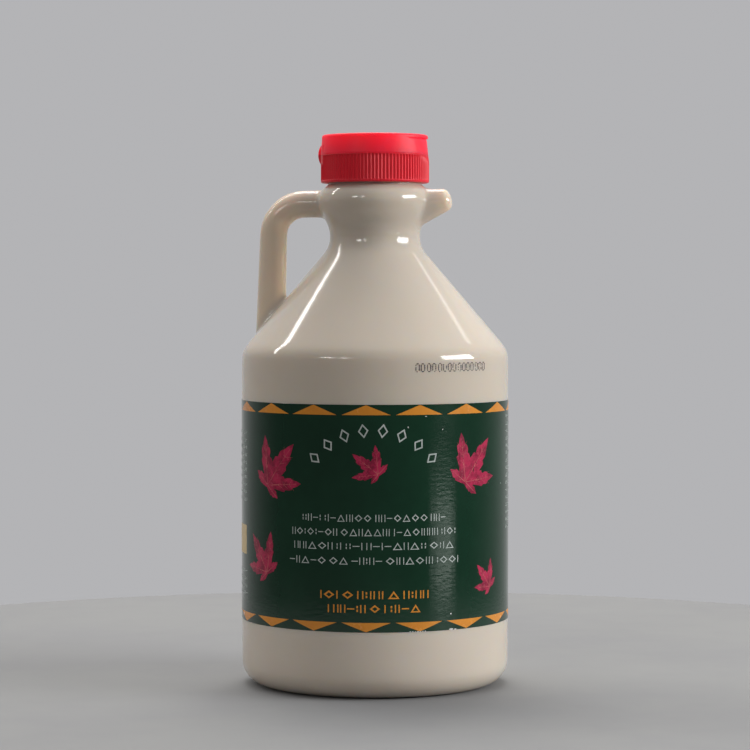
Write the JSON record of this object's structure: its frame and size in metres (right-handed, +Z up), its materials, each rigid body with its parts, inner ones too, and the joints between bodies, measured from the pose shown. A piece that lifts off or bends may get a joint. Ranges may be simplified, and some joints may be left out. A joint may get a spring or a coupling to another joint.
{
  "type": "maple syrup jug",
  "caption": "Round opaque syrup jug with a loop handle, a short pouring stub, a waisted neck, a ribbed flip-top closure and a wrap-around label.",
  "frame": {"origin": "centre of the base on the jug's axis, at the height of the surface it stands on", "axes": "+Z up along the body's axis; +X toward the pouring stub, so the handle is at -X; the label's front faces roughly -Y"},
  "size_m": [0.1004, 0.1004, 0.2056],
  "materials": {
    "jug_plastic": "glossy opaque warm beige moulded plastic",
    "label_print": "dark green printed film label with gold borders, crimson leaves and plain pale bars, satin",
    "closure_plastic": "semi-gloss red moulded plastic"
  },
  "bodies": {
    "root": {"jug": "jug_plastic", "label": "label_print", "cap": "closure_plastic", "lid": "closure_plastic"}
  },
  "joints": []
}
